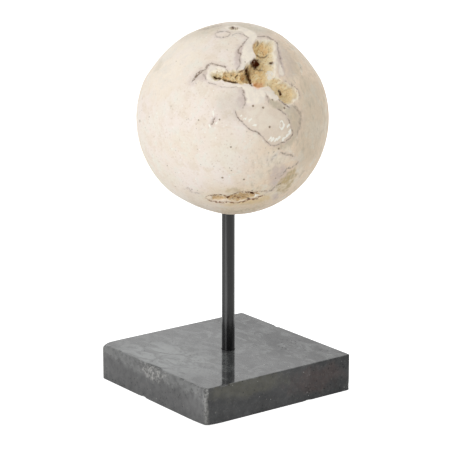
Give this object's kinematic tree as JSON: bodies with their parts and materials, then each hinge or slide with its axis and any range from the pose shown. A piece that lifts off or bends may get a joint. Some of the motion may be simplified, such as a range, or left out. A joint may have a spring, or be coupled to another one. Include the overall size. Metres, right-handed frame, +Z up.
{
  "type": "decorative stone ball on a stand",
  "caption": "Weathered cream stone ball with an open natural hollow, held on a slim black rod above a square slab base of dark polished stone.",
  "frame": {"origin": "centre of the slab's underside, on the surface that the object stands on", "axes": "+Z up along the rod; X and Y along the slab's sides; the show face of the ball looks towards the corner of the slab at -X and -Y"},
  "size_m": [0.1164, 0.1156, 0.226],
  "materials": {
    "pale_stone": "ground smooth and unpolished, cream, with lilac-grey veins and ochre inside the hollows",
    "black_lacquer": "gloss black lacquer",
    "dark_stone": "polished dark grey with paler clouds and chipped edges"
  },
  "bodies": {
    "root": {"stone_ball": "pale_stone", "rod": "black_lacquer", "base_slab": "dark_stone"}
  },
  "joints": []
}
